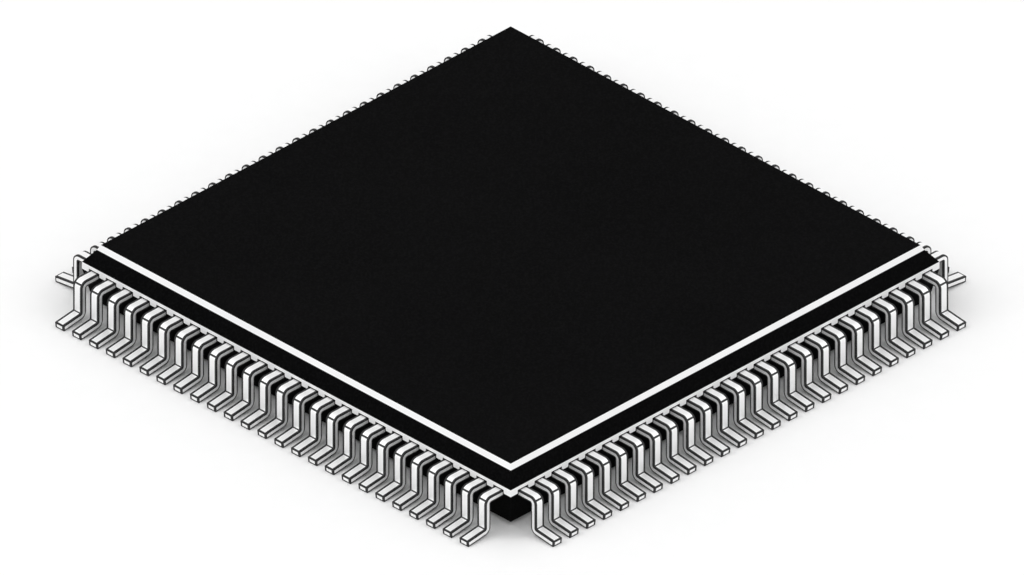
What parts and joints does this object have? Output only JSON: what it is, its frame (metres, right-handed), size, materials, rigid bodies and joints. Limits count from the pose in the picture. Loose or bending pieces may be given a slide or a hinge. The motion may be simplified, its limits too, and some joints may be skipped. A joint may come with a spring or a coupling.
{
  "type": "quad flat pack chip",
  "caption": "Square low-profile chip package with a bevelled black moulded body and fine gull-wing leads on all four sides.",
  "frame": {"origin": "on the board, under the centre of the body", "axes": "+Z away from the board; X and Y across the body, square to its sides"},
  "size_m": [0.0162, 0.0162, 0.0016],
  "materials": {
    "moulding": "fine matte, near black",
    "tin": "matte tin plate",
    "copper": "bare copper alloy",
    "adhesive": "cured silver-filled adhesive",
    "silicon": "polished",
    "gold": "drawn gold wire"
  },
  "bodies": {
    "root": {"molded_body": "moulding", "leads_front": "tin", "leads_right": "tin", "leads_back": "tin", "leads_left": "tin", "die_paddle": "copper", "die_attach": "adhesive", "silicon_die": "silicon", "bond_wires_front": "gold", "bond_wires_right": "gold", "bond_wires_back": "gold", "bond_wires_left": "gold"}
  },
  "joints": []
}
